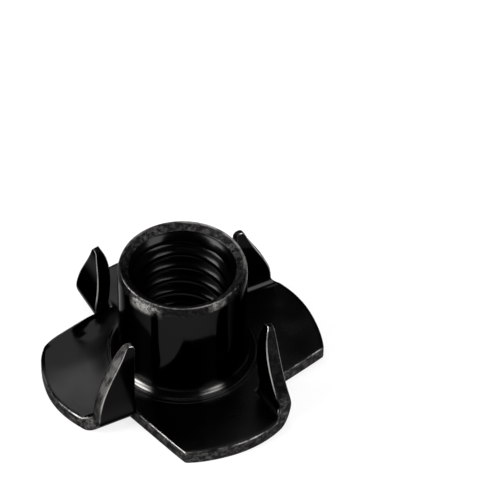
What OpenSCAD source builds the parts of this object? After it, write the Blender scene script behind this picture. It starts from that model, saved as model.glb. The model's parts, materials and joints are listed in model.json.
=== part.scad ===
// Tee nut for wood: one stamping of sheet steel with a drawn, tapped barrel and four prongs.
// Millimetres. The Z axis is the barrel's axis, and Z = 0 is the flat face that the nut stands on.
// The straight cuts beside the lobes run along X or Y.

/* [Thread] */
// Diameter over the roots of the thread, 5/16 inch
thread_d = 7.94; // [6.5:0.02:8.4]
// Diameter of the hole at the crests of the thread
bore_d = 6.6; // [5.2:0.1:7.4]
// Gap between the roots of the thread and the edge of the mouth
mouth_gap = 0.08; // [0:0.02:0.3]
// Depth in which the mouth narrows to the crests of the thread
lead_in = 1.2; // [0.2:0.05:1.6]

/* [Barrel] */
// Outside diameter of the barrel
barrel_d = 10; // [9.4:0.1:12]
// Height of the barrel's top above the standing face
barrel_h = 10.4; // [9:0.2:16]
// How far the end face slopes down from the rim to the mouth
mouth_dish = 0.35; // [0.1:0.05:0.5]
// Radius of the rounded rim
rim_r = 0.2; // [0.1:0.05:0.4]
// Radius of the fillet where the barrel meets the flange
foot_r = 0.9; // [0.4:0.05:1.4]
// Radius of the drawn-in mouth under the flange
draw_r = 1.4; // [0.6:0.1:2]

/* [Flange] */
// Diameter of the flange over its free corners
flange_d = 22.2; // [21.6:0.2:26]
// Thickness of the sheet
sheet_t = 1.15; // [0.8:0.05:1.4]
// Diameter of the tighter curve that each lobe's rim follows towards its prong
shoulder_d = 16; // [14:0.5:20]
// Angle from the free corner at which that curve starts
shoulder_start = 18; // [12:1:24]

/* [Cuts] */
// Number of lobes, each with its prong
lobe_count = 4; // [3:1:4]
// Distance from the axis to each straight cut
cut_offset = 7.15; // [6.6:0.05:7.6]
// How far along the cut its inner corner lies from the axis
corner_offset = 2.8; // [2:0.1:3.6]
// Angle by which the fold leans from square to the cut
fold_turn = 14; // [0:1:20]

/* [Prongs] */
// Height of the prongs above the standing face
prong_h = 8.2; // [6:0.1:9.5]
// Width of a prong where its bend ends
prong_w = 3.3; // [2.6:0.1:3.5]
// Radius of the rounded tip
tip_r = 0.4; // [0.25:0.05:0.6]
// Radius of the prong's curved outer edge
blade_r = 28; // [16:1:60]
// Angle by which the inner edge leans outwards
inner_lean = 1; // [0:0.5:4]
// Inside radius of the bend
bend_r = 0.55; // [0.3:0.05:1]
// Angle by which the prong leans back over the flange as it leaves the bend
bend_lean = 12; // [6:1:18]
// Distance from the inner corner back to the start of the bend
bend_setback = 1.6; // [1.2:0.1:2]
// Radius in which the prong bows out again, to the middle of the sheet
bow_r = 17; // [12:1:60]

/* [Hidden] */
$fn = 96;
// Facets of the circles that are many times larger than the part
large_fn = 180;
// How far a cutting shape runs past what it cuts
spare = 1;
// How far two shapes of one outline run into each other
overlap = 0.1;
// Difference that makes two touching circles cross
hair = 0.01;

flange_r = flange_d / 2;
barrel_r = barrel_d / 2;
bore_r = bore_d / 2;
mouth_r = thread_d / 2 + mouth_gap;
shoulder_r = shoulder_d / 2;

lobe_pitch = 360 / lobe_count;
// Direction of the free corner of the lobe that carries the first prong
carrier_turn = acos(cut_offset / flange_r) - lobe_pitch;
// Direction of the first notch's inner corner, past which the lobe before it has ended
shoulder_end = atan2(corner_offset, cut_offset);

bend_z = sheet_t + bend_r;
bend_mid_r = bend_r + sheet_t / 2;
// The bow leaves the bend half its lean before square, which keeps the sheet's thickness even there
bow_y = -bend_setback + bend_mid_r * cos(bend_lean / 2) + bow_r * cos(bend_lean);
bow_z = bend_z - bend_mid_r * sin(bend_lean / 2) + bow_r * sin(bend_lean);

// Centre of the tighter curve, square to the fold from the inner corner and along the fold
shoulder_x = (flange_r - shoulder_r) * cos(carrier_turn + shoulder_start) - cut_offset;
shoulder_y = (flange_r - shoulder_r) * sin(carrier_turn + shoulder_start) - corner_offset;
shoulder_along = shoulder_x * cos(fold_turn) - shoulder_y * sin(fold_turn);
shoulder_past = shoulder_x * sin(fold_turn) + shoulder_y * cos(fold_turn);
// Width of the fold out to that curve where the bend starts
root_past = bend_setback + shoulder_past;
root_w = shoulder_along + sqrt(shoulder_r * shoulder_r - root_past * root_past);
// The prong's root widens along this slope down the bend to meet the lobe's rim
flare = (root_w - prong_w) / bend_r;

// The blade's outline: a straight inner edge, a tip circle and a large circle for the outer edge
tip_x = tip_r + (prong_h - bend_z) * tan(inner_lean);
tip_z = prong_h - tip_r;
blade_chord_x = prong_w - tip_x;
blade_chord_z = tip_z - bend_z;
// Both edges pass the tip circle's centre a hair inside its radius, so that they cross it cleanly
edge_gap = tip_r - hair;
// The large circle wraps the tip circle and passes the root at full width
root_gap = norm([blade_chord_x, blade_chord_z]);
centre_gap = blade_r - edge_gap;
root_angle = acos((root_gap * root_gap + centre_gap * centre_gap - blade_r * blade_r)
                  / (2 * root_gap * centre_gap));
chord_angle = atan2(-blade_chord_z, blade_chord_x);
blade_turn = chord_angle - root_angle;
blade_x = tip_x + centre_gap * cos(blade_turn);
blade_z = tip_z + centre_gap * sin(blade_turn);

// Half plane on the side that turns anticlockwise from a direction
module left_of(direction, reach) {
    rotate(direction) translate([-reach, 0]) square([2 * reach, reach]);
}

// Region that is cut away beside one lobe: open past the straight cut and past the fold. The flange
// ends inside the flat start of the bent sheet, so that the two overlap
module notch_outline() {
    start_y = corner_offset - (bend_setback + sheet_t / 4) / cos(fold_turn);
    translate([cut_offset, start_y])
        polygon([[0, 0],
                 [flange_d * cos(fold_turn), -flange_d * sin(fold_turn)],
                 [flange_d, flange_d],
                 [0, flange_d]]);
}

// Sliver between the full circle and the tighter curve near the prong
module shoulder_outline() {
    start = carrier_turn + shoulder_start;
    difference() {
        intersection() {
            left_of(start, flange_d);
            left_of(shoulder_end - 180, flange_d);
        }
        rotate(start) translate([flange_r - shoulder_r, 0]) circle(shoulder_r);
    }
}

// Plan of the flange before its lobes' rims are drawn in
module flange_outline() {
    difference() {
        circle(flange_r);
        for (i = [0:lobe_count - 1]) rotate(i * lobe_pitch) notch_outline();
    }
}

// Side view of a prong: X runs outwards along the fold, Y is height
module blade_outline() {
    touch_x = tip_x - edge_gap * cos(blade_turn);
    touch_z = tip_z - edge_gap * sin(blade_turn);
    translate([tip_x, tip_z]) circle(tip_r);
    intersection() {
        translate([blade_x, blade_z]) circle(blade_r, $fn = large_fn);
        polygon([[0, -spare],
                 [0, bend_z],
                 [tip_x - edge_gap * cos(inner_lean), tip_z + edge_gap * sin(inner_lean)],
                 [tip_x, tip_z],
                 [touch_x, touch_z],
                 [flange_r, touch_z],
                 [flange_r, -spare]]);
    }
    polygon([[0, bend_z - (flange_r - prong_w) / flare],
             [0, bend_z],
             [prong_w - overlap * flare, bend_z + overlap],
             [flange_r, bend_z - (flange_r - prong_w) / flare]]);
}

// Everything behind one face of the bent sheet: X points away from the barrel, Y is height
module behind_face(face_z, radius, face_bow_r) {
    difference() {
        union() {
            translate([-flange_r, face_z]) square([flange_r - bend_setback, radius]);
            translate([-bend_setback, bend_z]) circle(radius);
            translate([-flange_r, bend_z]) square([2 * flange_r, prong_h]);
        }
        translate([bow_y, bow_z]) circle(face_bow_r, $fn = large_fn);
    }
}

// Edge of the sheet from a sheet's thickness before the bend: flat, round the bend, then bowed
module sheet_section() {
    intersection() {
        translate([-bend_setback - sheet_t, -spare]) square([flange_r, barrel_h]);
        difference() {
            behind_face(0, bend_r + sheet_t, bow_r - sheet_t / 2);
            behind_face(sheet_t, bend_r, bow_r + sheet_t / 2);
        }
    }
}

// The first prong, beside the cut that faces X
module prong() {
    translate([cut_offset, corner_offset, 0]) rotate(-fold_turn) intersection() {
        translate([-spare, 0, 0]) rotate([90, 0, 90]) linear_extrude(flange_r) sheet_section();
        rotate([90, 0, 0]) linear_extrude(flange_d, center = true) blade_outline();
    }
}

// Flange and prongs, with the rims of both trimmed by the same curve
module stamping() {
    difference() {
        union() {
            linear_extrude(sheet_t) flange_outline();
            for (i = [0:lobe_count - 1]) rotate(i * lobe_pitch) prong();
        }
        for (i = [0:lobe_count - 1]) rotate(i * lobe_pitch)
            translate([0, 0, -spare]) linear_extrude(barrel_h + 2 * spare) shoulder_outline();
    }
}

// Half section of the drawn barrel, from the bore outwards
module barrel_section() {
    difference() {
        union() {
            square([barrel_r - rim_r, barrel_h]);
            square([barrel_r, barrel_h - rim_r]);
            translate([barrel_r - rim_r, barrel_h - rim_r]) circle(rim_r);
            square([barrel_r + foot_r, sheet_t + foot_r]);
        }
        translate([barrel_r + foot_r, sheet_t + foot_r]) circle(foot_r);
    }
}

module barrel() {
    rotate_extrude() barrel_section();
}

// Space of the hole: the drawn mouth below, the plain bore, and the mouth above the thread
module hole_section() {
    mouth_z = barrel_h - mouth_dish;
    translate([0, -spare]) square([bore_r, barrel_h + 2 * spare]);
    difference() {
        translate([0, -spare]) square([bore_r + draw_r, draw_r + spare]);
        translate([bore_r + draw_r, draw_r]) circle(draw_r);
    }
    polygon([[0, mouth_z - lead_in],
             [bore_r, mouth_z - lead_in],
             [mouth_r, mouth_z],
             [barrel_r - rim_r, barrel_h],
             [barrel_r - rim_r, barrel_h + spare],
             [0, barrel_h + spare]]);
}

module hole() {
    rotate_extrude() hole_section();
}

module tee_nut() {
    color("black") difference() {
        union() {
            stamping();
            barrel();
        }
        hole();
    }
}

tee_nut();
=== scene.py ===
# %% [markdown]
# A tee nut from one round of sheet steel.
#
# A tee nut gives soft wood a steel thread. A press cuts a round blank of sheet, draws its
# middle up into a barrel, cuts four slits from the rim and folds a prong up beside each.
# The barrel is then tapped and the nut gets a glossy black coat. This lesson makes the
# same part in nearly the same order: a flat quarter of the blank, four copies of it, the
# folded prongs, the drawn barrel by a spin, and the thread by a spin that climbs.

import json
from math import acos, atan2, cos, pi, radians, sin, sqrt, tan

import bmesh
import bpy
from mathutils import Matrix, Vector


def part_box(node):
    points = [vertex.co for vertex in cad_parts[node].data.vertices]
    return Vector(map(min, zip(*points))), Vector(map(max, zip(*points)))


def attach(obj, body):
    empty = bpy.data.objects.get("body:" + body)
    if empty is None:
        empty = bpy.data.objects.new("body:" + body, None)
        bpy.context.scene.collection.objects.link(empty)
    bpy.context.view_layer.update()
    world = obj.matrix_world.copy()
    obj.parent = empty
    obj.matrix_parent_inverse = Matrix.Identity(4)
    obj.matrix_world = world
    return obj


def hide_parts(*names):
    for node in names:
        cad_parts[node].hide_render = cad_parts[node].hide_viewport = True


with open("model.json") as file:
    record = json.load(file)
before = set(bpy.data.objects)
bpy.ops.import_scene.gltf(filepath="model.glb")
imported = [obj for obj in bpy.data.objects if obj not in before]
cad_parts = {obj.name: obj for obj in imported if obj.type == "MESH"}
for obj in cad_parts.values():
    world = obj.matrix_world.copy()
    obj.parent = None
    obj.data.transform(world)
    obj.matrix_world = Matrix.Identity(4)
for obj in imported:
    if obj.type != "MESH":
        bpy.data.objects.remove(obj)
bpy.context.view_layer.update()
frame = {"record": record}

# %% [markdown]
# The sizes come from the frame where it states them: the interfaces of the part give the
# thread's crest radius, the barrel's radius and the sheet's thickness. The rest are the
# maker's sizes of the same stamping. The mesh is made in millimetres, because a sheet one
# millimetre thick is easier to think about than one of 0.001, and is scaled to metres in
# its last step.

# %% Sizes in millimetres
MM = 0.001
MERGE = 0.001  # points closer than this become one
interfaces = {m["name"]: m for m in frame["record"]["mounts"]}
CREST_R = interfaces["thread"]["dims"]["r_mm"]
BARREL_R = interfaces["barrel"]["dims"]["r_mm"]
SHEET_T = interfaces["flange_seat"]["pos_m"][2] / MM
node_low, node_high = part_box("tee_nut")
BARREL_H = (node_high[2] - node_low[2]) / MM

ROOT_R = 7.94 / 2  # thread's roots, 5/16 inch across
PITCH = 25.4 / 18
MOUTH_R = ROOT_R + 0.16  # edge where the end face meets the hole
MOUTH_DISH = 0.42  # the end face slopes down to the mouth by this much
LEAD_IN = 1.2  # depth of the cone that cuts back the first crests
RIM_R = 0.2  # how far the rim's crest lies inside the barrel's wall
RIM_DROP = 0.85  # height over which the wall curves in to the crest
FOOT_R = 0.9  # fillet between barrel and flange
DRAW_R = 1.4  # drawn-in mouth under the flange
FLANGE_R = 11.1  # over the free corners


def clamped(value):
    """The value, held between 0 and 1."""
    return min(max(value, 0), 1)


print(f"sheet {SHEET_T:.2f}, barrel {BARREL_R:.2f} x {BARREL_H:.2f}, crests {CREST_R:.2f}")

# %% [markdown]
# The blank is the same four times over, so only a quarter is drawn: one lobe with the
# prong that it carries. The lobe starts at the inner end of one slit, runs out along the
# straight cut to a free corner, follows the rim, and ends at the fold of its prong. The
# rim is a large circle that passes into a tighter one before the fold, as the real rim
# does where the press pulled it in.

# %% Plan of the lobe
CUT_X = 7.15  # straight cut's distance from the axis
CORNER_Y = 2.8  # notch's inner corner, along the cut
FOLD_TURN = radians(14)  # the fold leans by this much from square to the cut
SETBACK = 1.6  # from the corner back to where the bend starts
SHOULDER_R = 8.0  # tighter curve of the rim
SHOULDER_START = radians(18)  # where it takes over, from the free corner

corner_angle = acos(CUT_X / FLANGE_R)
carrier_angle = corner_angle - pi / 2
shoulder_angle = carrier_angle + SHOULDER_START
shoulder_centre = Vector((cos(shoulder_angle), sin(shoulder_angle))) * (FLANGE_R - SHOULDER_R)
fold_corner = Vector((CUT_X, CORNER_Y))
along_fold = Vector((cos(FOLD_TURN), -sin(FOLD_TURN)))
past_fold = Vector((sin(FOLD_TURN), cos(FOLD_TURN)))

slit_end = fold_corner - past_fold * SETBACK + along_fold * SETBACK * tan(FOLD_TURN)
to_centre = shoulder_centre - fold_corner
centre_past_start = SETBACK + to_centre.dot(past_fold)
root_w = to_centre.dot(along_fold) + sqrt(SHOULDER_R**2 - centre_past_start**2)
fold_end = fold_corner - past_fold * SETBACK + along_fold * root_w
print(f"fold from ({slit_end.x:.2f}, {slit_end.y:.2f}) to ({fold_end.x:.2f}, {fold_end.y:.2f})")

# %% [markdown]
# The outline is then walked once round: cut, rim, fold. Each stretch is shared out evenly,
# but its first and last steps are very short. When the mesh is smoothed later, points that
# lie close to a corner hold it tight, and a corner without them would melt away.

# %% Outer edge of the quarter, point by point
EDGE = 0.22  # depth of the rounding that shearing and tumbling leave on the edges
CUT_STEPS, RIM_STEPS, FOLD_STEPS = 10, 14, 8
QUARTER_STEPS = CUT_STEPS + RIM_STEPS + FOLD_STEPS


def rim_point(angle):
    """Point of the rim in a direction from the axis."""
    direction = Vector((cos(angle), sin(angle)))
    if angle <= shoulder_angle:
        return direction * FLANGE_R
    across = direction.dot(shoulder_centre)
    return direction * (across + sqrt(across**2 - shoulder_centre.length_squared + SHOULDER_R**2))


def even_steps(count, length, margin):
    """Fractions from 0 to 1. The first and last step are only a margin long, 0.3 at most."""
    edge = min(margin / length, 0.3)
    inner = [edge + (1 - 2 * edge) * k / (count - 2) for k in range(count - 1)]
    return [0.0] + inner + [1.0]


cut_start = Vector((slit_end.y, -slit_end.x))
free_corner = rim_point(carrier_angle)
rim_turn = atan2(fold_end.y, fold_end.x) - carrier_angle
cut_length = (free_corner - cut_start).length
fold_length = (slit_end - fold_end).length
outline = [cut_start.lerp(free_corner, f) for f in even_steps(CUT_STEPS, cut_length, EDGE)]
outline += [
    rim_point(carrier_angle + rim_turn * f)
    for f in even_steps(RIM_STEPS, FLANGE_R * rim_turn, EDGE)[1:]
]
outline += [fold_end.lerp(slit_end, f) for f in even_steps(FOLD_STEPS, fold_length, EDGE)[1:]]
print("quarter outline:", len(outline), "points")

# %% [markdown]
# The lobe's sheet is a grid that is pulled into place. Its first row lies on the circle
# where the barrel's foot begins, at equal angles, so that a spun barrel will meet it point
# for point. Its last row is the outline. The row before the last keeps the same short
# distance from the edge all round, which is what gives every sheared edge the same
# rounding later.

# %% Lobe as a flat grid
LOBE_ROWS = 6
FOOT_OUTER = BARREL_R + FOOT_R  # radius where the barrel's foot begins
SEAM = 0.01  # how near a point must be to a surface to count as on it
start_angle = atan2(cut_start.y, cut_start.x)


def grid_in_place(bm, columns, rows, place):
    """Adds a grid of columns by rows and moves each point to place(column, row)."""
    made = bmesh.ops.create_grid(bm, x_segments=columns, y_segments=rows, size=0.5)["verts"]
    for vert in made:
        column = round((vert.co.x + 0.5) * columns)
        row = round((vert.co.y + 0.5) * rows)
        vert.co = place(column, row)
    return made


def lobe_point(column, row):
    """Point of the lobe: a column runs outwards, and the last row is the outline."""
    angle = start_angle + (pi / 2) * column / QUARTER_STEPS
    inner = Vector((cos(angle), sin(angle))) * FOOT_OUTER
    outer = outline[column]
    reach = (outer - inner).length
    fractions = [k / (LOBE_ROWS - 1) * (1 - EDGE / reach) for k in range(LOBE_ROWS)] + [1.0]
    return inner.lerp(outer, fractions[row]).to_3d()


blank = bmesh.new()
grid_in_place(blank, QUARTER_STEPS, LOBE_ROWS, lobe_point)
print("lobe:", len(blank.faces), "faces")

# %% [markdown]
# The prong is a second grid that grows from the fold. It is drawn flat, as in the blank:
# one direction runs along the fold, the other is the length s along the sheet. The prong's
# shape is known from how it stands, so the path of the folded sheet is worked out first.
# The sheet bends a little past square round a small radius, then bows gently out again.

# %% Path of the sheet through the fold
PRONG_H = 8.2
BEND_R = 0.55  # inside radius of the bend
BEND_ANGLE = radians(102)
BOW_R = 17.0  # of the sheet's middle above the bend

bend_mid_r = BEND_R + SHEET_T / 2
bend_length = bend_mid_r * BEND_ANGLE
bend_past = bend_mid_r * sin(BEND_ANGLE)
bend_rise = bend_mid_r * (1 - cos(BEND_ANGLE))


def folded(s, bow_r):
    """Place of the sheet's middle after a length s: distance past the start, rise, slope."""
    if s < bend_length:
        slope = s / bend_mid_r
        return bend_mid_r * sin(slope), bend_mid_r * (1 - cos(slope)), slope
    slope = BEND_ANGLE - (s - bend_length) / bow_r
    past = bend_past + bow_r * (sin(BEND_ANGLE) - sin(slope))
    rise = bend_rise + bow_r * (cos(slope) - cos(BEND_ANGLE))
    return past, rise, slope


def length_at(height):
    """Length along the sheet at which its middle stands at a height."""
    slope = acos(cos(BEND_ANGLE) + (height - SHEET_T / 2 - bend_rise) / BOW_R)
    return bend_length + BOW_R * (BEND_ANGLE - slope)


print(f"bend {bend_length:.2f} mm long, {bend_rise:.2f} mm high")

# %% [markdown]
# The prong's inner edge follows the slit and then stands nearly upright. Its outer edge
# sweeps in from the rim, stands for a moment and then slopes to a small rounded tip, so it
# is two smooth spans with a set slope at each end. The last rows of the grid turn into
# the arc of the tip step by step.

# %% Prong as a flat grid
TIP_R = 0.42
TIP_LEAN = radians(22)
TIP_LIFT = 0.09  # the sheet leans, so one face of the tip ends above its middle
WAIST_S, WAIST_Q = 1.55, 3.25  # end of the sweep: along the sheet, along the fold
ROOT_SLOPE, WAIST_SLOPE, TIP_SLOPE = -0.25, -0.05, -0.4
INNER_LEAN = radians(1)
BEND_ROWS, BLADE_ROWS = 6, 9
PRONG_ROWS = BEND_ROWS + BLADE_ROWS

tip_s = length_at(PRONG_H - TIP_LIFT - TIP_R)
tip_q = (tip_s - SETBACK) * sin(INNER_LEAN) + TIP_R
tip_edge_q = tip_q + TIP_R * cos(TIP_LEAN)
blade_length = tip_s - bend_length


def smooth_span(start, end, slope_in, slope_out, length, f):
    """Cubic from start to end with the given slopes, at fraction f of its length."""
    return (
        start * (1 + 2 * f) * (1 - f) ** 2
        + slope_in * length * f * (1 - f) ** 2
        + end * (3 - 2 * f) * f**2
        - slope_out * length * f**2 * (1 - f)
    )


def outer_edge(s):
    """Distance of the prong's outer edge along the fold, after a length s."""
    if s < WAIST_S:
        return smooth_span(root_w, WAIST_Q, ROOT_SLOPE, WAIST_SLOPE, WAIST_S, s / WAIST_S)
    above = tip_s - WAIST_S
    return smooth_span(WAIST_Q, tip_edge_q, WAIST_SLOPE, TIP_SLOPE, above, (s - WAIST_S) / above)


def inner_edge(s):
    """Distance of the prong's inner edge along the fold, after a length s."""
    if s < SETBACK:
        return (SETBACK - s) * tan(FOLD_TURN)
    return (s - SETBACK) * sin(INNER_LEAN)


stations = [bend_length * k / BEND_ROWS for k in range(BEND_ROWS + 1)]
stations += [
    bend_length + blade_length * f for f in even_steps(BLADE_ROWS + 1, blade_length, EDGE)[2:]
]


def prong_point(column, row):
    """Point of the flat prong; towards the tip its rows turn into the tip's arc."""
    s = stations[row]
    outer, inner = outer_edge(s), inner_edge(s)
    f = even_steps(FOLD_STEPS, outer - inner, EDGE)[column]
    point = Vector((outer + (inner - outer) * f, s))
    turn = TIP_LEAN + (pi - TIP_LEAN) * f
    tip = Vector((tip_q + TIP_R * cos(turn), tip_s + TIP_R * sin(turn)))
    toward_tip = clamped((s - bend_length) / blade_length)
    point = point.lerp(tip, toward_tip**4)
    return (fold_corner + along_fold * point.x + past_fold * (point.y - SETBACK)).to_3d()


past_start = blank.verts.layers.float.new("past_start")
for vert in grid_in_place(blank, FOLD_STEPS, PRONG_ROWS, prong_point):
    vert[past_start] = max((vert.co.xy - fold_corner).dot(past_fold) + SETBACK, 0)
bmesh.ops.remove_doubles(blank, verts=blank.verts, dist=MERGE)
print(f"quarter with its prong: {len(blank.faces)} faces, tip {tip_s:.2f} mm along the sheet")

# %% [markdown]
# Three turned copies complete the blank. It gets its thickness while it is still flat:
# the faces are extruded upwards, and the walls that the extrusion leaves round the middle
# are taken away, because the barrel continues the sheet there. Two extra loops in the
# sheared walls hold their edges: the punch rounds the upper edge more than the lower one.

# %% Four lobes, thickness and edges
LOWER_LOOP, UPPER_LOOP = 0.12, 0.2  # distances of the holding loops from the two faces

bmesh.ops.spin(
    blank,
    geom=blank.verts[:] + blank.edges[:] + blank.faces[:],
    cent=(0, 0, 0),
    axis=(0, 0, 1),
    angle=3 * pi / 2,
    steps=3,
    use_duplicate=True,
)
bmesh.ops.remove_doubles(blank, verts=blank.verts, dist=MERGE)
extruded = bmesh.ops.extrude_face_region(blank, geom=blank.faces[:], use_keep_orig=True)["geom"]
upper_verts = [part for part in extruded if isinstance(part, bmesh.types.BMVert)]
bmesh.ops.translate(blank, verts=upper_verts, vec=(0, 0, SHEET_T))


def upright(edge):
    """Whether an edge stands up through the sheet."""
    return abs(edge.verts[0].co.z - edge.verts[1].co.z) > SHEET_T / 2


def at_the_middle(face):
    """Whether a face lies on the circle where the barrel's foot begins."""
    return all(v.co.xy.length < FOOT_OUTER + SEAM for v in face.verts)


middle_walls = [f for f in blank.faces if at_the_middle(f) and any(upright(e) for e in f.edges)]
bmesh.ops.delete(blank, geom=middle_walls, context="FACES")
wall_edges = [e for e in blank.edges if upright(e)]
bmesh.ops.subdivide_edges(blank, edges=wall_edges, cuts=2, use_grid_fill=True)
sheared = blank.verts.layers.float.new("sheared")
for vert in blank.verts:
    height = vert.co.z
    if SEAM < height < SHEET_T - SEAM:
        vert[sheared] = 1.0
        vert.co.z = LOWER_LOOP if height < SHEET_T / 2 else SHEET_T - UPPER_LOOP
print("flat blank:", len(blank.faces), "faces,", len(middle_walls), "middle walls removed")

# %% [markdown]
# A stamping tool makes four equal lobes, but handling doesn't leave them so. The rims are
# drawn in by different amounts, the free corners are blunted, and along the last lobe's
# straight cut the sheet is bent up a little. Such small faults could be sculpted by hand.
# Here each is a formula of the place on the blank, which is easy to change or take out.
# None of them moves the inner circle, where the barrel has to fit.

# %% Differences between the lobes
RIM_TRIMS = (0.14, 0.17, 0.0, -0.1)  # how far each lobe's rim is drawn in
CORNER_CUTS = (0.06, 0.04, 0.08, 0.28)  # how far each free corner is blunted
CORNER_REACH = 1.3  # how far from the corner that is felt
LIFT = 0.66  # how far the last lobe stands up along its straight cut
LIFT_FROM_X, LIFT_FROM_Y = 3.6, 0.9  # where the lift begins, from the axis
LIFT_LENGTH = 2.6  # along the cut, until the lift is full
SAG_FROM, SAG_LENGTH, SAG_SHARE = 6.9, 1.8, 0.35  # the corner hangs back by this share
FREE_OF_BARREL = 0.3  # share of the lobe's width in which the lift becomes full

free_corners = [Matrix.Rotation(k * pi / 2, 2) @ free_corner for k in range(4)]


def blunted(point):
    """A point of the blank after its free corners are blunted."""
    for corner, cut in zip(free_corners, CORNER_CUTS):
        near = clamped(1 - (point - corner).length / CORNER_REACH)
        point = point - corner.normalized() * cut * near**2
    return point


def rim_trim(point):
    """How far the rim is drawn in, in the direction of a point."""
    lobe, turned = divmod((atan2(point.y, point.x) - start_angle) % (2 * pi), pi / 2)
    along_rim = clamped((turned + start_angle - carrier_angle) / rim_turn)
    return RIM_TRIMS[int(lobe) % 4] * sin(pi * along_rim)


def lift(point):
    """How far the sheet is bent up at a point: most along the cut, less at the corner."""
    toward_cut = clamped((-point.x - LIFT_FROM_X) / (CUT_X - LIFT_FROM_X))
    from_slit = clamped((-point.y - LIFT_FROM_Y) / LIFT_LENGTH)
    toward_corner = clamped((-point.y - SAG_FROM) / SAG_LENGTH)
    return LIFT * toward_cut**1.5 * from_slit**0.7 * (1 - SAG_SHARE * toward_corner**2)


for vert in blank.verts:
    if vert[past_start] > 0:
        continue
    point = blunted(vert.co.xy)
    outward = clamped((point.length - FOOT_OUTER - SEAM) / (FLANGE_R - FOOT_OUTER))
    vert.co.xy = point * (1 - rim_trim(point) * outward**2 / FLANGE_R)
    vert.co.z += lift(point) * min(outward / FREE_OF_BARREL, 1)
print("highest point before the folds:", round(max(v.co.z for v in blank.verts), 2), "mm")

# %% [markdown]
# Now the press folds the prongs. Every point past the start of a bend moves with the path
# of the sheet's middle, and keeps its own distance from that middle along the normal. No
# two prongs of a real nut are quite alike, so each has its own bow, length, lean to the
# side and fullness. Towards the tip the sheet thins, as its sheared edge is rolled round.

# %% Fold the prongs
BOWS = (15.0, 23.0, 13.5, 17.0)
LENGTHS = (1.0, 0.965, 1.012, 1.0)
SIDE_LEANS = (0.0, 0.0, -0.02, -0.045)
FULLNESS = (0.0, 0.1, 0.13, 0.0)
TIP_THINNING = 0.4  # share of the sheet's thickness that is lost at the tip

for vert in blank.verts:
    s = vert[past_start]
    if s <= 0:
        continue
    quarter = int(atan2(vert.co.y, vert.co.x) % (2 * pi) // (pi / 2))
    unturn = Matrix.Rotation(-quarter * pi / 2, 3, "Z")
    local = (unturn @ vert.co).xy - fold_corner
    blade = max(s - bend_length, 0)
    s = min(s, bend_length) + blade * LENGTHS[quarter]
    past, rise, slope = folded(s, BOWS[quarter])
    offset = (vert.co.z - SHEET_T / 2) * (1 - TIP_THINNING * (blade / blade_length) ** 6)
    past -= SETBACK + offset * sin(slope)
    along = local.dot(along_fold) * (1 + FULLNESS[quarter] * sin(pi * min(s / tip_s, 1)))
    along += SIDE_LEANS[quarter] * blade
    place = fold_corner + along_fold * along + past_fold * past
    height = SHEET_T / 2 + rise + offset * cos(slope)
    vert.co = unturn.inverted() @ Vector((place.x, place.y, height))
print("prongs stand", round(max(v.co.z for v in blank.verts), 2), "mm high")

# %% [markdown]
# The barrel is a turned shape, so its section is drawn once and spun round the axis. The
# spin has as many steps as the blank has points on its inner circle and starts at the same
# angle, so the two meet point for point and merge. The wall is straight up to its last
# part, where it curves in to the crest, and the end face slopes down from there to the
# hole. The same spin makes the drawn-in mouth under the flange.

# %% Barrel and mouth by a full spin
TURN_STEPS = 4 * QUARTER_STEPS
MOUTH_Z = BARREL_H - MOUTH_DISH
CREST_EDGE_R = BARREL_R - RIM_R
DRAW_STOP = radians(44)  # how far round the drawn mouth runs before the thread takes over
MOUTH_MARGIN = 0.4  # flat ring that keeps the sheet flat up to the mouth's curve


def arc(centre_r, centre_z, radius, start, end, steps):
    """Points of an arc in the section, as (distance from the axis, height)."""
    turns = [start + (end - start) * k / steps for k in range(steps + 1)]
    return [(centre_r + radius * cos(a), centre_z + radius * sin(a)) for a in turns]


def spin_section(bm, section):
    """Joins the section's points by edges and spins them round the axis."""
    across_axis = Vector((cos(start_angle), sin(start_angle), 0))
    points = [bm.verts.new(across_axis * r + Vector((0, 0, z))) for r, z in section]
    edges = [bm.edges.new(pair) for pair in zip(points, points[1:])]
    bmesh.ops.spin(
        bm,
        geom=points + edges,
        cent=(0, 0, 0),
        axis=(0, 0, 1),
        angle=2 * pi,
        steps=TURN_STEPS,
        use_merge=True,
    )


foot_top, wall_top = SHEET_T + FOOT_R, BARREL_H - RIM_DROP
barrel_wall = arc(FOOT_OUTER, foot_top, FOOT_R, -pi / 2, -pi, 7)
barrel_wall += [(BARREL_R, foot_top + (wall_top - foot_top) * k / 5) for k in range(1, 6)]
barrel_wall += [
    (BARREL_R - RIM_R * f**2.2, wall_top + RIM_DROP * f) for f in (0.3, 0.55, 0.78, 0.93)
]
end_face = [
    (CREST_EDGE_R + (MOUTH_R - CREST_EDGE_R) * f, BARREL_H - MOUTH_DISH * f)
    for f in (0, 0.08, 0.36, 0.66, 0.93, 1)
]
mouth = [(FOOT_OUTER, 0.0), (CREST_R + DRAW_R + MOUTH_MARGIN, 0.0)]
mouth += arc(CREST_R + DRAW_R, DRAW_R, DRAW_R, -pi / 2, -pi / 2 - DRAW_STOP, 5)
spin_section(blank, barrel_wall + end_face)
spin_section(blank, mouth)
bmesh.ops.remove_doubles(blank, verts=blank.verts, dist=MERGE)
print(f"mouth ends at radius {mouth[-1][0]:.2f}, {len(blank.faces)} faces so far")

# %% [markdown]
# A thread is a spin that climbs: one upright profile of crests and roots is spun once round
# while it rises by one pitch. After the full turn each crest meets the next one, so the
# seam merges. The profile is longer than the bore at both ends and is cut off square.
# Afterwards every point is pushed out to the lead-in at the top, a short chamfer and then
# a slim cone, and to the drawn mouth below, where the tap's cut runs out. Dents painted on
# a plain wall would be simpler, but a thread shows its depth to anyone who looks inside.

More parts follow.
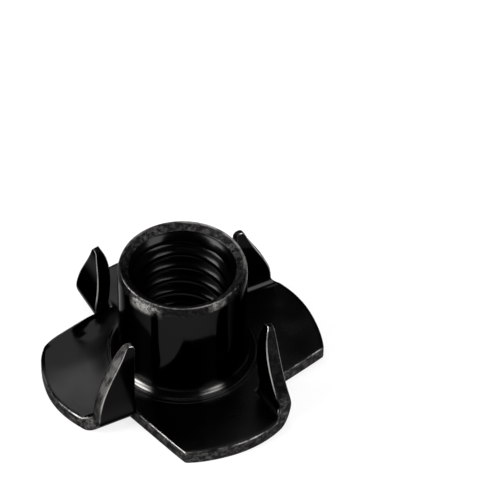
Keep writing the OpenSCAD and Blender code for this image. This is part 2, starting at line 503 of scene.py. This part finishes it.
# %% Thread by a climbing spin
THREAD_LOW, THREAD_HIGH = 0.48, MOUTH_Z - 0.04
FADE = 0.8  # height in which the thread runs out into the drawn mouth
FIRST_TURN = -1.6  # where the profile starts, in pitches
CREST_HALF, ROOT_HALF = 0.17, 0.07  # flats to each side of a crest and a root, in pitches
CHAMFER_DEPTH, CHAMFER_SLOPE = 0.16, 1.6
CONE_TOP_R = ROOT_R - 0.1

thread = bmesh.new()
turns_up = int(BARREL_H / PITCH) + 3
flank_end = 0.5 - ROOT_HALF
flank_middle = (flank_end + CREST_HALF) / 2
phases = (-CREST_HALF, 0, CREST_HALF, flank_middle, flank_end, 0.5, 1 - flank_end, 1 - flank_middle)


def thread_r(phase):
    """Radius of the thread's surface, where phase 0 is the middle of a crest."""
    from_crest = abs((phase + 0.5) % 1 - 0.5)
    down_flank = clamped((from_crest - CREST_HALF) / (flank_end - CREST_HALF))
    return CREST_R + (ROOT_R - CREST_R) * down_flank


def lead_r(depth):
    """Radius that the first crests are cut back to, at a depth below the mouth's edge."""
    if depth < CHAMFER_DEPTH:
        return MOUTH_R - depth * CHAMFER_SLOPE
    return CONE_TOP_R - (depth - CHAMFER_DEPTH) * (CONE_TOP_R - CREST_R) / LEAD_IN


profile = [
    thread.verts.new((thread_r(phase), 0, (FIRST_TURN + turn + phase) * PITCH))
    for turn in range(turns_up)
    for phase in phases
]
ladder = [thread.edges.new(pair) for pair in zip(profile, profile[1:])]
bmesh.ops.spin(
    thread,
    geom=profile + ladder,
    cent=(0, 0, 0),
    axis=(0, 0, 1),
    dvec=(0, 0, PITCH / TURN_STEPS),
    angle=2 * pi,
    steps=TURN_STEPS,
)
bmesh.ops.remove_doubles(thread, verts=thread.verts, dist=MERGE)
for height, keep_above in ((THREAD_LOW, True), (THREAD_HIGH, False)):
    bmesh.ops.bisect_plane(
        thread,
        geom=thread.verts[:] + thread.edges[:] + thread.faces[:],
        plane_co=(0, 0, height),
        plane_no=(0, 0, 1),
        clear_inner=keep_above,
        clear_outer=not keep_above,
    )
for vert in thread.verts:
    r, z = vert.co.xy.length, vert.co.z
    drawn = CREST_R + DRAW_R - sqrt(DRAW_R**2 - max(DRAW_R - z, 0) ** 2)
    cut_in = drawn + max(r - drawn, 0) * clamped((z - THREAD_LOW) / FADE)
    r = max(cut_in, lead_r(MOUTH_Z - z))
    vert.co.xy = vert.co.xy.normalized() * r
print("thread:", len(thread.faces), "faces are left of", turns_up, "turns")

# %% [markdown]
# The thread is set into the barrel by bridging: the two open circles at the top, and the
# two at the bottom, are each joined by a strip of faces. Then the mesh must be closed,
# which is the test that every seam met. Last, each point outside the hole is marked with
# how sharply the faces turn there, because the coat wears off the sharp places first.

# %% Join, check and mark the edges
thread_mesh = bpy.data.meshes.new("thread")
thread.to_mesh(thread_mesh)
thread.free()
blank.from_mesh(thread_mesh)
bpy.data.meshes.remove(thread_mesh)


def open_edges_near(bm, low, high):
    """Open edges that lie between two heights."""
    return [e for e in bm.edges if e.is_boundary and all(low < v.co.z < high for v in e.verts)]


bmesh.ops.bridge_loops(blank, edges=open_edges_near(blank, BARREL_H / 2, BARREL_H + 1))
bmesh.ops.bridge_loops(blank, edges=open_edges_near(blank, -1, BARREL_H / 2))
bmesh.ops.recalc_face_normals(blank, faces=blank.faces)
unclosed = [e for e in blank.edges if not e.is_manifold]
print("open edges:", len(unclosed), "volume in cubic mm:", round(blank.calc_volume(), 1))
sharpness = blank.verts.layers.float.new("edge")
for vert in blank.verts:
    if vert.co.xy.length > MOUTH_R - 0.1:
        turn = max(e.calc_face_angle(0) for e in vert.link_edges)
        vert[sharpness] = clamped(turn / (pi / 2))
print("sharpest mark:", round(max(v[sharpness] for v in blank.verts), 2))

# %% [markdown]
# The mesh becomes an object. It is scaled to metres in the mesh itself, so that the object
# stays at the origin, unturned and unscaled. One level of subdivision turns the tight
# loops into small roundings. The piece then takes the place of the plain solid.

# %% The nut as an object
bmesh.ops.scale(blank, vec=(MM, MM, MM), verts=blank.verts)
nut_mesh = bpy.data.meshes.new("tee_nut_coated")
blank.to_mesh(nut_mesh)
blank.free()
nut_mesh.shade_smooth()
nut = bpy.data.objects.new("tee_nut_coated", nut_mesh)
bpy.context.scene.collection.objects.link(nut)
rounding = nut.modifiers.new("rounding", "SUBSURF")
rounding.levels = rounding.render_levels = 1
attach(nut, "root")
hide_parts("tee_nut")
print("nut:", len(nut_mesh.polygons), "faces before the subdivision")

# %% [markdown]
# The finish is a black coat on steel: dark, glossy, a little uneven. A node material is a
# chain of small decisions, and most of them are masks: values from 0 to 1 that say how far
# something holds at a point. The helpers add nodes to the tree that is open at the time and
# join masks, so that what follows reads as products, sums and largest values.

# %% Node helpers
MIX_INPUTS, MIX_OUTPUT = (0, 6, 7), 2  # a Mix node's sockets for colours, by number

coat = bpy.data.materials.new("black_coat")
coat.use_nodes = True
nodes, links = coat.node_tree.nodes, coat.node_tree.links
shader = nodes["Principled BSDF"]


def node(kind, inputs=None, **settings):
    """Adds a node and sets its inputs, by name, and its properties."""
    made = nodes.new(kind)
    for name, value in (inputs or {}).items():
        made.inputs[name].default_value = value
    for name, value in settings.items():
        setattr(made, name, value)
    return made


def feed(socket, value):
    """Gives an input a constant or another node's output."""
    if isinstance(value, bpy.types.NodeSocket):
        links.new(value, socket)
    else:
        socket.default_value = value


def combine(operation, *values):
    """Joins values by a Math operation, from the first to the last, or applies it to one."""
    result = values[0]
    for value in values[1:] or (0.0,):
        made = node("ShaderNodeMath", operation=operation)
        feed(made.inputs[0], result)
        feed(made.inputs[1], value)
        result = made.outputs[0]
    return result


def product(*values):
    """The values multiplied: where all of them hold."""
    return combine("MULTIPLY", *values)


def total(*values):
    """The values added."""
    return combine("ADD", *values)


def largest(*values):
    """The largest value: where any of them holds."""
    return combine("MAXIMUM", *values)


def ramp(value, low, high, to_low=0.0, to_high=1.0):
    """Maps a value from one range to another, smoothly and without leaving it."""
    made = node("ShaderNodeMapRange", interpolation_type="SMOOTHSTEP")
    for socket, given in zip(made.inputs, (value, low, high, to_low, to_high)):
        feed(socket, given)
    return made.outputs[0]


def held(value):
    """The value, held between 0 and 1."""
    made = node("ShaderNodeClamp")
    feed(made.inputs[0], value)
    return made.outputs[0]


def blend_colours(factor, first, second):
    """Goes from the first colour to the second as the factor goes from 0 to 1."""
    made = node("ShaderNodeMix", data_type="RGBA")
    for number, value in zip(MIX_INPUTS, (factor, first, second)):
        feed(made.inputs[number], value)
    return made.outputs[MIX_OUTPUT]


def own(name):
    """One of the piece's own attributes."""
    return node("ShaderNodeAttribute", attribute_name=name).outputs["Fac"]


position = node("ShaderNodeTexCoord").outputs["Object"]


def noise(scale, detail=4.0, roughness=0.5, stretch=None):
    """Noise over the nut, with a scale in features per metre."""
    made = node("ShaderNodeTexNoise", {"Scale": scale, "Detail": detail, "Roughness": roughness})
    source = position
    if stretch:
        mapping = node("ShaderNodeMapping", {"Scale": stretch})
        links.new(position, mapping.inputs["Vector"])
        source = mapping.outputs[0]
    links.new(source, made.inputs["Vector"])
    return made.outputs["Fac"]


print("coat starts with", [n.name for n in nodes])

# %% [markdown]
# Wear and roughness depend on where a point lies on the nut. Its height, its distance from
# the axis and its direction from the axis are worked out once, in millimetres, and give
# the masks of the nut's regions. A painted mask would need an unwrapped surface. These need
# none, and they move with the sizes at the top. Each region ends softly: the small numbers
# beside a radius or a height say over what distance.

# %% Regions of the nut
PRONG_FROM, PRONG_FULL = 1.6, 3.2  # heights between which a prong's own look sets in
TORN_FROM, TORN_FULL = 0.15, 0.8  # mark of the sheared walls, which fades over one face

axis_parts = node("ShaderNodeSeparateXYZ")
links.new(position, axis_parts.inputs[0])
east, north, height = (product(axis_parts.outputs[name], 1 / MM) for name in "XYZ")
from_axis = combine("SQRT", total(product(east, east), product(north, north)))
below_top = combine("SUBTRACT", BARREL_H, height)


def toward(turn, narrow, wide):
    """1 near a direction from the axis, falling to 0 at the wider angle from it, in degrees."""
    along = total(product(east, cos(radians(turn))), product(north, sin(radians(turn))))
    return ramp(combine("DIVIDE", along, from_axis), cos(radians(wide)), cos(radians(narrow)))


high_up = ramp(height, PRONG_FROM, PRONG_FULL)
on_prong = product(high_up, ramp(from_axis, FOOT_OUTER - 0.6, FOOT_OUTER))
on_flange = ramp(height, SHEET_T + 0.25, SHEET_T + 0.05)
in_bore = ramp(from_axis, MOUTH_R + 0.02, MOUTH_R - 0.05)
off_the_bore = ramp(from_axis, MOUTH_R - 0.03, MOUTH_R + 0.03)
barrel_end = product(ramp(below_top, 1.0, 0.45), off_the_bore)
past_crest = ramp(from_axis, CREST_EDGE_R - 0.06, CREST_EDGE_R + 0.1)
above_sheet = ramp(height, SHEET_T - 0.25, SHEET_T - 0.05)
outside = product(above_sheet, ramp(from_axis, BARREL_R - 0.3, BARREL_R - 0.05))
foot_reach = ramp(from_axis, FOOT_OUTER + 0.5, FOOT_OUTER - 0.1)
foot = product(ramp(height, 2.3, 1.9), foot_reach, outside)
torn = ramp(own("sheared"), TORN_FROM, TORN_FULL)
print("regions:", len(nodes), "nodes so far")

# %% [markdown]
# A coat that was dipped or baked on draws back from sharp edges, and handling rubs it off
# there, so steel shows first along the edges and tips. The mesh carries how sharp each of
# its points is, and noise breaks that line up into longer and shorter bright places. The
# prongs' thin edges lose more of their coat than the flange's do.

# %% Worn edges
WORN_FROM, WORN_FULL = 0.45, 0.8  # how sharply the faces turn, as a share of a right angle
FLANGE_WEAR = 0.37  # of a prong's wear

edge_line = ramp(own("edge"), WORN_FROM, WORN_FULL)
patches = noise(420, detail=6, roughness=0.7)
worn_patches = ramp(patches, 0.42, 0.6, 0.0, 1.15)
worn_on_prong = product(on_prong, ramp(patches, 0.3, 0.5, 0.45, 1.0))
edge_share = total(FLANGE_WEAR, product(on_prong, 1 - FLANGE_WEAR))
edge_wear = product(edge_line, largest(worn_patches, worn_on_prong), edge_share)
crest_wear = product(ramp(below_top, 0.12, 0.03), ramp(patches, 0.4, 0.6, 0.0, 0.5))
print("worn edges made")

# %% [markdown]
# The sheared walls and the barrel's end are rough under the coat: a punch tears the sheet
# in upright streaks, and the drawn end is as the press left it. There the coat looks grey
# and mottled. On the barrel the roughness runs a little way down the outer wall, which the
# draw stretched most.

# %% Rough places
mottle = noise(2600, detail=7, roughness=0.8)
fine_grain = noise(5200, detail=4, roughness=0.65)
streaks = noise(900, detail=5, roughness=0.7, stretch=(2.2, 2.2, 0.35))
end_rough = product(barrel_end, combine("SUBTRACT", 1.0, product(past_crest, 0.65)))
rough_place = largest(torn, product(end_rough, ramp(mottle, 0.3, 0.55, 0.55, 1.0)))
print("rough places made")

# %% [markdown]
# Where the barrel's foot was ironed by the press, fine rings run round it, and a low ridge
# marks the fillet's end. A sine of the distance from the axis makes the rings, and noise
# in its phase keeps them from being perfect. In the two directions where the foot mirrors
# the side boxes, the rings are painted in bare steel as short bright arcs: a painted highlight.

# %% Rings round the foot, and painted highlights on them
RING_GAP = 0.16
RING_WANDER = 9.0  # how far noise shifts the phase
RIDGE_HALF = 0.14
LEFT_FOOT_HIGHLIGHT, RIGHT_FOOT_HIGHLIGHT = (-80, 5, 15), (-15, 4, 14)  # direction, full within, gone beyond

wander = product(noise(260, detail=2), RING_WANDER)
ring_wave = combine("SINE", total(product(from_axis, 2 * pi / RING_GAP), wander))
from_ridge = combine("ABSOLUTE", combine("SUBTRACT", from_axis, FOOT_OUTER - 0.1))
ridge = product(ramp(from_ridge, RIDGE_HALF, 0.0), ramp(height, 1.6, 1.4), outside)
# Painted highlight: bare steel on the rings, only in the directions where the side boxes are
# mirrored.
highlight_turns = largest(toward(*LEFT_FOOT_HIGHLIGHT), product(toward(*RIGHT_FOOT_HIGHLIGHT), 0.8))
foot_highlight = product(foot, total(0.16, product(ring_wave, 0.1)), highlight_turns)
print("foot made")

# %% [markdown]
# In two places, in the directions where the side boxes are mirrored, the top of the outer
# wall is bare steel: partly rubbed wear, partly a painted highlight. Each is a patch round
# one direction from the axis, broken up by the same mottle and patches as the rest, so that it
# doesn't look stuck on.

# %% Rubbed patches and painted highlights under the rim
LARGE_RUB_HIGHLIGHT, SMALL_RUB_HIGHLIGHT = (-77, 4, 19), (-8, 2, 11)  # direction, full within, gone beyond

large_band = product(ramp(below_top, 1.4, 0.75), ramp(below_top, 0.12, 0.4, 0.25, 1.0))
large_rub_highlight = product(large_band, toward(*LARGE_RUB_HIGHLIGHT))
small_rub_highlight = product(ramp(below_top, 0.8, 0.45), 0.5, toward(*SMALL_RUB_HIGHLIGHT))
broken_up = product(ramp(mottle, 0.38, 0.6, 0.1, 1.0), ramp(patches, 0.36, 0.56, 0.55, 1.25))
outer_wall = ramp(from_axis, CREST_EDGE_R - 0.05, CREST_EDGE_R + 0.03)
# Bare steel under the rim where the side boxes are mirrored: partly rubbed wear, partly painted
# highlight.
rub_and_highlight = product(outer_wall, largest(large_rub_highlight, small_rub_highlight), broken_up)
print("rubbed patches made")

# %% [markdown]
# The colours stay few: black for the coat, a duller black on the barrel's end and on the
# prongs, grey where the coat is thin over rough steel, and bare steel where it is worn off.
# On the prongs the duller black is painted shade, which dims the bright floor that they
# mirror, and the bare steel at the foot and under the rim is partly painted highlight.
# The shader is a metal with a very dark colour, and its tint at grazing angles is kept
# low. A clear lacquer model would mirror the bright floor in every steep face.

# %% Coat: colour
BLACK = (0.0108, 0.0108, 0.0111, 1)
DULL_END_AND_PRONG_SHADE = (0.0035, 0.0035, 0.0036, 1)
THIN_COAT = (0.085, 0.083, 0.08, 1)
BARE_STEEL = (0.36, 0.35, 0.335, 1)
SCRAPED = (-98, 24, 40)  # direction of the prong whose wall is scraped

prong_wall = product(on_prong, torn)
thin_on_walls = product(torn, combine("SUBTRACT", 1.0, product(on_prong, 0.88)))
thin_on_end = product(barrel_end, combine("SUBTRACT", 0.6, product(past_crest, 0.4)))
thin_in_mottle = product(largest(thin_on_walls, thin_on_end), ramp(mottle, 0.45, 0.62, 0.03, 1.0))
scraped_prong = product(prong_wall, toward(*SCRAPED), ramp(streaks, 0.4, 0.6, 0.12, 1.0))
thin = largest(thin_in_mottle, scraped_prong)
# On the prongs the duller black is painted shade: it darkens the floor that their faces mirror.
dull_end_and_prong_shade = largest(product(on_prong, 0.6), prong_wall, product(barrel_end, 0.75))
# Bare steel: worn edges and crest, plus the painted highlights at the foot and under the rim.
wear_and_highlight = held(largest(edge_wear, rub_and_highlight, crest_wear, foot_highlight))

coat_colour = blend_colours(thin, blend_colours(dull_end_and_prong_shade, BLACK, DULL_END_AND_PRONG_SHADE), THIN_COAT)
links.new(blend_colours(wear_and_highlight, coat_colour, BARE_STEEL), shader.inputs["Base Color"])
shader.inputs["Metallic"].default_value = 1.0
shader.inputs["Specular Tint"].default_value = (0.42, 0.42, 0.42, 1)
print("colour made")

# %% [markdown]
# How sharp the reflections are tells gloss from satin. The coat is a cloudy gloss, softer
# on the flange, at the foot and in the hole, where it ran together or was touched by
# tools, and softest where it is rough, worn or carries the painted highlights.

# %% Coat: roughness
clouds = ramp(noise(300, detail=5), 0.35, 0.7, 0.06, 0.15)
softer = largest(product(foot, 0.13), product(on_flange, 0.15), product(in_bore, 0.12))
rough = held(total(clouds, product(rough_place, 0.25), softer, product(wear_and_highlight, 0.15)))
links.new(rough, shader.inputs["Roughness"])
print("roughness made")

# %% [markdown]
# What is too small for the mesh becomes relief in the shading. The heights are in
# micrometres: a slow waviness of the coat, the mottle and grain of the rough places, the
# torn streaks of the sheared walls, and the foot's rings and ridge.

# %% Coat: relief
MICROMETRE = 1e-6
relief = total(
    product(noise(500, detail=2), 6),
    product(rough_place, mottle, 72),
    product(rough_place, fine_grain, 24),
    product(torn, streaks, 48),
    product(foot, ring_wave, 3.75),
    product(ridge, 39),
)
bump = node("ShaderNodeBump", {"Strength": 0.6, "Distance": MICROMETRE})
links.new(relief, bump.inputs["Height"])
links.new(bump.outputs["Normal"], shader.inputs["Normal"])
nut_mesh.materials.append(coat)
print("coat:", len(nodes), "nodes")

# %% [markdown]
# The nut stands on white paper. To look white the paper glows for the rays that show it,
# from the eye or by way of the glossy coat. Its own colour is only a dull grey, so the
# lamps don't burn it out, and the nut's soft shadow still shows. A white paper under strong
# lamps would need light that the black coat can't do with. The room is split the same way.

# %% Floor
FLOOR_HALF = 3.0
PAPER_GLOW = 0.78
PAPER_GREY = (0.22, 0.22, 0.22, 1)


def showing():
    """1 for rays that show a thing: straight, mirrored, or through something clear."""
    path = node("ShaderNodeLightPath")
    kinds = ("Is Camera Ray", "Is Glossy Ray", "Is Transmission Ray")
    return largest(*(path.outputs[kind] for kind in kinds))


ground = bmesh.new()
bmesh.ops.create_grid(ground, x_segments=1, y_segments=1, size=FLOOR_HALF)
floor_mesh = bpy.data.meshes.new("floor")
ground.to_mesh(floor_mesh)
ground.free()
floor = bpy.data.objects.new("floor", floor_mesh)
bpy.context.scene.collection.objects.link(floor)

paper = bpy.data.materials.new("white_paper")
paper.use_nodes = True
nodes, links = paper.node_tree.nodes, paper.node_tree.links
paper_shader = nodes["Principled BSDF"]
paper_shader.inputs["Base Color"].default_value = PAPER_GREY
paper_shader.inputs["Roughness"].default_value = 0.9
paper_shader.inputs["Specular IOR Level"].default_value = 0.0
paper_shader.inputs["Emission Color"].default_value = (1, 1, 1, 1)
links.new(product(showing(), PAPER_GLOW), paper_shader.inputs["Emission Strength"])
floor_mesh.materials.append(paper)
print("floor:", 2 * FLOOR_HALF, "m wide")

# %% [markdown]
# The room is white up to just above the horizon, and dark above that. A black glossy
# thing is drawn by what it mirrors: under a white sky its upper faces would turn grey, and
# in a dark room they stay black, with bright shapes only where lamps stand. For all other
# rays there is an even weak glow, which lights the paper and keeps the shadow pale.

# %% World
BAND_TOP = 0.08  # sine of the angle above the horizon where the white band has faded
ABOVE_BAND = 0.04
WEAK_GLOW = 0.22  # for the rays that show nothing

world = bpy.data.worlds.new("studio")
bpy.context.scene.world = world
world.use_nodes = True
nodes, links = world.node_tree.nodes, world.node_tree.links
background = nodes["Background"]
background.inputs["Color"].default_value = (1, 1, 1, 1)
direction = node("ShaderNodeSeparateXYZ")
links.new(node("ShaderNodeTexCoord").outputs["Generated"], direction.inputs[0])
shown = showing()
room = product(shown, ramp(direction.outputs["Z"], 0.0, BAND_TOP, 1.0, ABOVE_BAND))
glow = product(combine("SUBTRACT", 1.0, shown), WEAK_GLOW)
links.new(total(room, glow), background.inputs["Strength"])
print("world:", len(nodes), "nodes")

# %% [markdown]
# The camera looks down at half a right angle, from the side where the lifted lobe lies on
# the left. It stands a quarter of a metre away with a long lens, which keeps the near and
# far prongs at their true proportions. It aims behind the nut, so that the nut sits low and
# to the left, and it is rolled by one degree.

# %% Camera
CAMERA_TURN, CAMERA_RISE, CAMERA_FAR = radians(-41.18), radians(45.14), 0.261
CAMERA_ROLL, CAMERA_LENS = radians(1.0), 242.8
TURNS_ABOUT = Vector((0, 0, 0.005065))
LOOKS_AT = Vector((0.000819, 0.006225, 0.008531))


def from_nut(turn, rise, distance):
    """Offset in a direction round and above the nut."""
    level = cos(rise)
    return Vector((level * cos(turn), level * sin(turn), sin(rise))) * distance


camera = bpy.data.objects.new("camera", bpy.data.cameras.new("camera"))
bpy.context.scene.collection.objects.link(camera)
camera.data.lens = CAMERA_LENS
camera.data.clip_start = 0.01
looking_from = TURNS_ABOUT + from_nut(CAMERA_TURN, CAMERA_RISE, CAMERA_FAR)
aim = (LOOKS_AT - looking_from).to_track_quat("-Z", "Y").to_matrix().to_4x4()
roll = Matrix.Rotation(CAMERA_ROLL, 4, "Z")
camera.matrix_world = Matrix.Translation(looking_from) @ aim @ roll
bpy.context.scene.camera = camera
print("camera at", tuple(round(v, 3) for v in looking_from))

# %% [markdown]
# Two tall soft boxes stand at the sides. They draw the bright arcs on the foot and light
# the worn steel, and a weak one hangs above. The last lobe is bent up, so it mirrors
# another part of the room than its neighbours. Two small cards, close to the nut and
# behind it, are what it mirrors, and they give it its soft grey. All are hidden from the
# camera and seen only in the coat.

# %% Lights
LIT_POINT = Vector((0, 0, 0.005))


def soft_box(name, turn, rise, distance, size, power):
    """Area light that faces the nut; its turn is measured from the camera, to the right."""
    light = bpy.data.lights.new(name, "AREA")
    light.shape = "RECTANGLE"
    light.size, light.size_y = size
    light.energy = power
    holder = bpy.data.objects.new(name, light)
    bpy.context.scene.collection.objects.link(holder)
    holder.location = from_nut(CAMERA_TURN + radians(turn), radians(rise), distance)
    facing = LIT_POINT - holder.location
    holder.rotation_euler = facing.to_track_quat("-Z", "Y").to_euler()
    holder.visible_camera = False
    return holder


boxes = (
    soft_box("box_left", -74, 29, 0.6, (0.26, 0.52), 6.4),
    soft_box("box_right", 60, 30, 0.6, (0.34, 0.52), 3.4),
    soft_box("box_top", 180, 88, 0.6, (0.2, 0.2), 0.35),
    soft_box("card_left_lobe", -163, 45, 0.082, (0.026, 0.034), 0.016),
    soft_box("card_raised_edge", 164, 64, 0.08, (0.040, 0.030), 0.0080),
)
print("lights:", ", ".join(box.name for box in boxes))

# %% [markdown]
# The colours are shown as they are, with no film curve.

# %% Finish
bpy.context.scene.view_settings.view_transform = "Standard"
